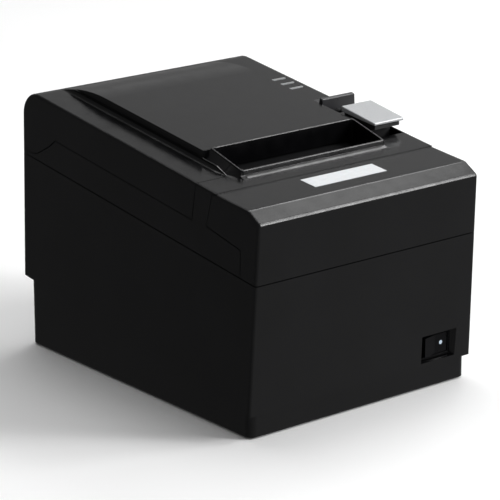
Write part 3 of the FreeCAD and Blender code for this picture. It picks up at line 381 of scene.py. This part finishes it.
def make_world():
    """A soft surround that is brightest in one direction and fades evenly to the opposite one."""
    world = bpy.data.worlds.new("studio")
    bpy.context.scene.world = world
    world.use_nodes = True
    nodes = world.node_tree.nodes
    links = world.node_tree.links
    towards = nodes.new("ShaderNodeTexCoord")
    along = nodes.new("ShaderNodeVectorMath")
    along.operation = "DOT_PRODUCT"
    along.inputs[1].default_value = direction(WORLD_BRIGHT_AZIMUTH, 0.0)
    spread = nodes.new("ShaderNodeMapRange")
    spread.inputs["From Min"].default_value = -1.0
    spread.inputs["From Max"].default_value = 1.0
    spread.inputs["To Min"].default_value = WORLD_DIM
    spread.inputs["To Max"].default_value = WORLD_BRIGHT
    links.new(towards.outputs["Generated"], along.inputs[0])
    links.new(along.outputs["Value"], spread.inputs["Value"])
    links.new(spread.outputs["Result"], nodes["Background"].inputs["Strength"])
    nodes["Background"].inputs["Color"].default_value = (1.0, 1.0, 1.0, 1.0)


def make_light():
    bpy.context.scene.view_settings.view_transform = "Standard"
    make_world()
    for row in SOFT_BOXES:
        soft_box(*row)


# ---- extra pieces ----
def mm(*values):
    """A point given in millimetres."""
    return Vector(values) * MM


def piece_from(mesh_data, name, body, slot, bevel=0.0, smooth=True):
    """Turns a finished bmesh into an object that rides on a body, with rounded edges."""
    bmesh.ops.remove_doubles(mesh_data, verts=mesh_data.verts, dist=1e-7)
    bmesh.ops.recalc_face_normals(mesh_data, faces=mesh_data.faces)
    if bevel:
        sharp = [e for e in mesh_data.edges if e.is_manifold and e.calc_face_angle(0.0) > math.radians(35)]
        bmesh.ops.bevel(mesh_data, geom=sharp, offset=bevel * MM, segments=2, profile=0.5,
                        affect="EDGES", clamp_overlap=True)
    for face in mesh_data.faces:
        face.smooth = smooth
    mesh = bpy.data.meshes.new(name)
    mesh_data.to_mesh(mesh)
    mesh_data.free()
    if smooth:
        mesh.set_sharp_from_angle(angle=math.radians(40))
    piece = bpy.data.objects.new(name, mesh)
    bpy.context.scene.collection.objects.link(piece)
    mesh.materials.append(library[slot])
    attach(piece, body)
    return piece


def add_ring(mesh_data, centre, axis, radius, sides, turn=0.0):
    """A ring of points about an axis that is 'Y' or 'Z'."""
    points = []
    for n in range(sides):
        angle = math.tau * n / sides + turn
        across = radius * math.cos(angle)
        up = radius * math.sin(angle)
        offset = (across, 0.0, up) if axis == "Y" else (across, up, 0.0)
        points.append(mesh_data.verts.new(mm(*(c + o for c, o in zip(centre, offset)))))
    return points


def bridge(mesh_data, first, second):
    """Faces between two rings of points."""
    count = len(first)
    for n in range(count):
        m = (n + 1) % count
        mesh_data.faces.new((first[n], first[m], second[m], second[n]))


def add_turned(mesh_data, place, axis, profile, sides=24, turn=0.0):
    """A solid of revolution: the profile lists (distance along the axis, radius), closed at both ends."""
    rings = []
    x, y, z = place
    for along, radius in profile:
        centre = (x, y + along, z) if axis == "Y" else (x, y, z + along)
        rings.append(add_ring(mesh_data, centre, axis, radius, sides, turn))
    for first, second in zip(rings, rings[1:]):
        bridge(mesh_data, first, second)
    mesh_data.faces.new(rings[0])
    mesh_data.faces.new(rings[-1])


def add_block(mesh_data, low, high):
    """A block between two corners in millimetres."""
    corners = [mesh_data.verts.new(mm(x, y, z)) for x in (low[0], high[0])
               for y in (low[1], high[1]) for z in (low[2], high[2])]
    for side in ((0, 1, 3, 2), (4, 6, 7, 5), (0, 4, 5, 1), (2, 3, 7, 6), (0, 2, 6, 4), (1, 5, 7, 3)):
        mesh_data.faces.new([corners[n] for n in side])


def rounded_outline(width, height, radius, steps=5):
    """Points round a rectangle with rounded corners, about its middle."""
    points = []
    for corner in range(4):
        sx = 1 if corner in (0, 3) else -1
        sy = 1 if corner in (0, 1) else -1
        for n in range(steps + 1):
            angle = math.pi / 2 * (corner + n / steps)
            points.append((sx * (width / 2 - radius) + radius * math.cos(angle),
                           sy * (height / 2 - radius) + radius * math.sin(angle)))
    return points


def add_plate(mesh_data, outline, place):
    """A closed slab: place(u, v, side) puts each outline point on its face 0 or 1."""
    faces = [[mesh_data.verts.new(place(u, v, side)) for u, v in outline] for side in (0, 1)]
    bridge(mesh_data, faces[0], faces[1])
    mesh_data.faces.new(faces[0])
    mesh_data.faces.new(faces[1])


def box_mm(node):
    """A node's lowest and highest corners, in millimetres."""
    low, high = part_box(node)
    return [c / MM for c in low], [c / MM for c in high]


def panel_face():
    """Y of the connector panel's rear face, in millimetres: the USB socket is flush with it."""
    return box_mm("usb_socket")[1][1]


def cross_head(mesh_data, place, radius, height):
    """A pan head screw that faces the rear: four raised quarters leave a cross-shaped slot."""
    x, y, z = place
    profile = [
        (-0.3, radius),
        (0.25 * height, radius),
        (0.7 * height, 0.86 * radius),
        (0.95 * height, 0.62 * radius),
    ]
    add_turned(mesh_data, place, "Y", profile, 28)
    slot_half = 0.35
    reach = 0.5 * radius
    top = y + 0.95 * height
    for sx, sz in ((1, 1), (-1, 1), (-1, -1), (1, -1)):
        across = sorted((x + sx * slot_half, x + sx * reach))
        up = sorted((z + sz * slot_half, z + sz * reach))
        add_block(mesh_data, (across[0], top - 0.15, up[0]), (across[1], top + 0.22, up[1]))


def serial_details():
    """Hex standoffs beside the serial socket, and its two rows of contacts."""
    low, high = box_mm("serial_socket")
    middle_x = (low[0] + high[0]) / 2
    middle_z = (low[2] + high[2]) / 2
    standoff = [(-0.8, 2.35), (4.2, 2.35), (4.6, 2.0), (4.6, 1.25), (1.5, 1.2)]
    standoffs = bmesh.new()
    for x in (low[0] - 0.5, high[0] + 0.5):
        add_turned(standoffs, (x, panel_face(), middle_z), "Y", standoff, 6, math.pi / 6)
    piece_from(standoffs, "serial_standoffs", "frame", "zinc_steel", smooth=False)
    sleeve = [(-0.4, 0.75), (0.35, 0.75), (0.35, 0.42), (-0.3, 0.4)]
    pitch = 2.77
    contacts = bmesh.new()
    for row, count in ((1.4, 8), (-1.4, 7)):
        for n in range(count):
            x = middle_x + (n - (count - 1) / 2) * pitch
            add_turned(contacts, (x, high[1] - 1.0, middle_z + row), "Y", sleeve, 16)
    piece_from(contacts, "serial_contacts", "frame", "brass")


def drawer_contacts():
    """Six sprung wires in the drawer socket, each a flight of short steps."""
    low, high = box_mm("drawer_socket")
    middle_x = (low[0] + high[0]) / 2
    pitch = 1.27
    half = 0.22
    wires = bmesh.new()
    for n in range(6):
        x = middle_x + (n - 2.5) * pitch
        for step in range(8):
            y = high[1] - 8.0 + step * 0.85
            z = low[2] + 2.5 + step * 0.36
            add_block(wires, (x - half, y, z), (x + half, y + 0.95, z + 0.42))
    piece_from(wires, "drawer_contacts", "frame", "brass")


def usb_contacts():
    """Two flat contacts below the USB tongue and two above it."""
    low, high = box_mm("usb_socket")
    middle_x = (low[0] + high[0]) / 2
    tongue_faces = (12.25, 15.2)
    pads = bmesh.new()
    for side in (-1, 1):
        x = middle_x + side * 1.2
        for z in tongue_faces:
            add_block(pads, (x - 0.5, high[1] - 6.5, z), (x + 0.5, high[1] - 2.0, z + 0.15))
    piece_from(pads, "usb_contacts", "frame", "brass")


def panel_screws():
    """Two small screws at each end of the connector panel, and a larger one low beside the power socket."""
    low, high = box_mm("connector_panel")
    screws = bmesh.new()
    for x in (low[0] + 4.5, high[0] - 4.5):
        for z in (low[2] + 24.5, low[2] + 31.0):
            cross_head(screws, (x, panel_face(), z), 2.7, 1.7)
    cross_head(screws, (45.0, panel_face(), 12.0), 3.2, 1.9)
    piece_from(screws, "panel_screws", "frame", "zinc_steel", bevel=0.08)


def blank_plates():
    """Blank rating plates: one under the base and one on the connector panel."""
    underside = box_mm("base_tray")[0][2]
    below = bmesh.new()
    add_plate(below, rounded_outline(62.0, 34.0, 2.5),
              lambda u, v, side: mm(u, 8.0 + v, underside - 0.12 + 0.17 * side))
    piece_from(below, "rating_plate", "frame", "label")
    panel_y = panel_face()
    behind = bmesh.new()
    add_plate(behind, rounded_outline(40.0, 7.0, 1.0),
              lambda u, v, side: mm(12.0 + u, panel_y - 0.05 + 0.18 * side, 32.0 + v))
    piece_from(behind, "panel_plate", "frame", "label")


def switch_frame():
    """The thin raised frame that holds the rocker in its recess."""
    low, high = box_mm("power_switch_body")
    width = high[0] - low[0]
    height = high[2] - low[2]
    middle_x = (low[0] + high[0]) / 2
    middle_z = (low[2] + high[2]) / 2
    outer = rounded_outline(width - 0.2, height - 0.2, 0.7)
    inner = rounded_outline(width - 1.5, height - 1.5, 0.4)
    back = low[1] + 0.1
    front = low[1] - 0.35
    frame_mesh = bmesh.new()
    loops = []
    for outline, y in ((outer, back), (outer, front), (inner, front), (inner, back)):
        loops.append([frame_mesh.verts.new(mm(middle_x + u, y, middle_z + v)) for u, v in outline])
    for first, second in zip(loops, loops[1:] + loops[:1]):
        bridge(frame_mesh, first, second)
    piece_from(frame_mesh, "switch_frame", "frame", "rocker_black", bevel=0.12)


def capacitor(mesh_data, place, radius, height):
    """An electrolytic can: a sleeve with a crimp near its foot and a dished top."""
    profile = [
        (0.0, radius * 0.95),
        (0.4, radius),
        (1.2, radius),
        (1.5, radius * 0.93),
        (1.8, radius),
        (height - 0.3, radius),
        (height, radius * 0.94),
        (height, radius * 0.8),
        (height - 0.2, radius * 0.7),
    ]
    add_turned(mesh_data, place, "Z", profile, 28)


def chip_legs(mesh_data, low_x, low_y, size, board_top):
    """Flat legs, 1 mm apart, along the four sides of a square chip."""
    length = 0.9
    width = 0.4
    high_x = low_x + size
    high_y = low_y + size
    for at in range(1, size):
        x = low_x + at
        y = low_y + at
        feet = (
            ((low_x - length, y), (low_x, y + width)),
            ((high_x, y), (high_x + length, y + width)),
            ((x, low_y - length), (x + width, low_y)),
            ((x, high_y), (x + width, high_y + length)),
        )
        for low, high in feet:
            add_block(mesh_data, (*low, board_top), (*high, board_top + 0.35))


def header_pins(mesh_data, board_top):
    """A row of square pins near the front of the main board."""
    pitch = 2.5
    width = 0.6
    for n in range(12):
        x = -33 + n * pitch
        add_block(mesh_data, (x, -66, board_top), (x + width, -66 + width, board_top + 5.5))


def board_details():
    """Parts on the main board: capacitors, chip legs and a row of header pins."""
    board_top = box_mm("main_board")[0][2] + BOARD_THICKNESS
    cans = bmesh.new()
    for x, y, radius, height in CAPACITORS:
        capacitor(cans, (x, y, board_top), radius, height)
    piece_from(cans, "capacitors", "frame", "rocker_black")
    pins = bmesh.new()
    for x, y, size in CHIPS:
        chip_legs(pins, x, y, size, board_top)
    header_pins(pins, board_top)
    piece_from(pins, "board_pins", "frame", "brass", smooth=False)


def add_coil(mesh_data, place, length, mean, wire, turns, steps=20, sides=8):
    """A coil spring of this mean radius and wire radius, whose axis runs along Y from place."""
    rings = []
    for n in range(int(turns * steps) + 1):
        angle = math.tau * n / steps
        along = wire + (length - 2 * wire) * n / (turns * steps)
        ring = []
        for m in range(sides):
            turn = math.tau * m / sides
            reach = mean + wire * math.cos(turn)
            ring.append(mesh_data.verts.new(mm(place[0] + reach * math.cos(angle),
                                               place[1] + along + wire * math.sin(turn),
                                               place[2] + reach * math.sin(angle))))
        rings.append(ring)
    for first, second in zip(rings, rings[1:]):
        bridge(mesh_data, first, second)
    mesh_data.faces.new(rings[0])
    mesh_data.faces.new(rings[-1])


def head_coils():
    """Springs behind the print head: fixed coils that stand in for the head_springs node, which is hidden.
    """
    low, high = box_mm("head_springs")
    wire = 0.4
    mean = (high[2] - low[2]) / 2 - wire
    coils = bmesh.new()
    for x in (low[0] + mean + wire, high[0] - mean - wire):
        add_coil(coils, (x, low[1], (low[2] + high[2]) / 2), high[1] - low[1], mean, wire, 4)
    springs = piece_from(coils, "head_coils", "frame", "bright_steel")
    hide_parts("head_springs")
    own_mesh(springs)


def rim_moulding():
    """The moulding at the foot of the exit rim's front wall: steep at the wall, easing out to the deck."""
    left_x, right_x = MOULDING_X
    y, z = MOULDING_FOOT
    profile = [(y + 0.1, z - 0.8), (y + 0.1, z + MOULDING_RISE), (y, z + MOULDING_RISE)]
    for degrees in MOULDING_SLOPES:
        last_y, last_z = profile[-1]
        drop = MOULDING_STRIP * math.tan(math.radians(degrees))
        profile.append((last_y - MOULDING_STRIP, last_z - drop))
    profile.append((profile[-1][0], z - 1.2))
    strip = bmesh.new()
    add_plate(strip, profile, lambda u, v, side: mm(right_x if side else left_x, u, v))
    piece_from(strip, "rim_moulding", "frame", "case_black")


make_camera()
make_floor()
make_light()
library = dress_nodes()
serial_details()
drawer_contacts()
usb_contacts()
panel_screws()
blank_plates()
switch_frame()
board_details()
head_coils()
rim_moulding()
